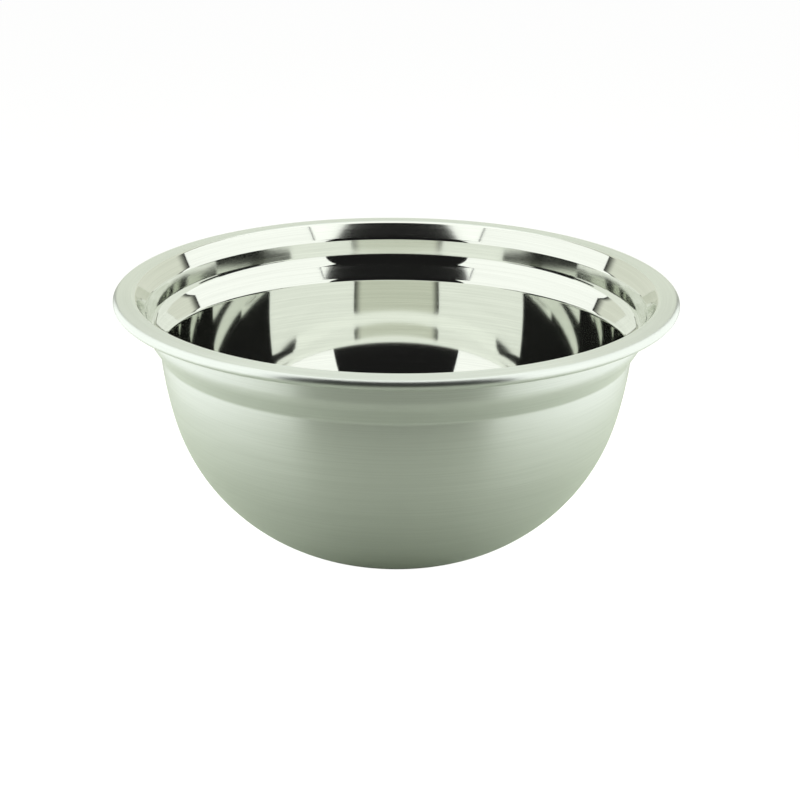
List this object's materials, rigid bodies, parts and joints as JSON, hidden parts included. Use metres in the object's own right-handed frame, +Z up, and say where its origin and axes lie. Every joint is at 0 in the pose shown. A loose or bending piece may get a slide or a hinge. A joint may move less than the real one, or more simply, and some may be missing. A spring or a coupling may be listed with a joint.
{
  "type": "mixing bowl",
  "caption": "Deep round stainless mixing bowl with a flat base, a stepped collar and a wide flange with a rolled edge.",
  "frame": {"origin": "centre of the flat underside that the bowl stands on", "axes": "+Z up along the bowl's axis of revolution, out of its mouth"},
  "size_m": [0.261, 0.261, 0.1203],
  "materials": {
    "stainless": "satin outside and on the flange, brushed round the axis; mirror polished inside"
  },
  "bodies": {
    "root": {"bowl": "stainless"}
  },
  "joints": []
}
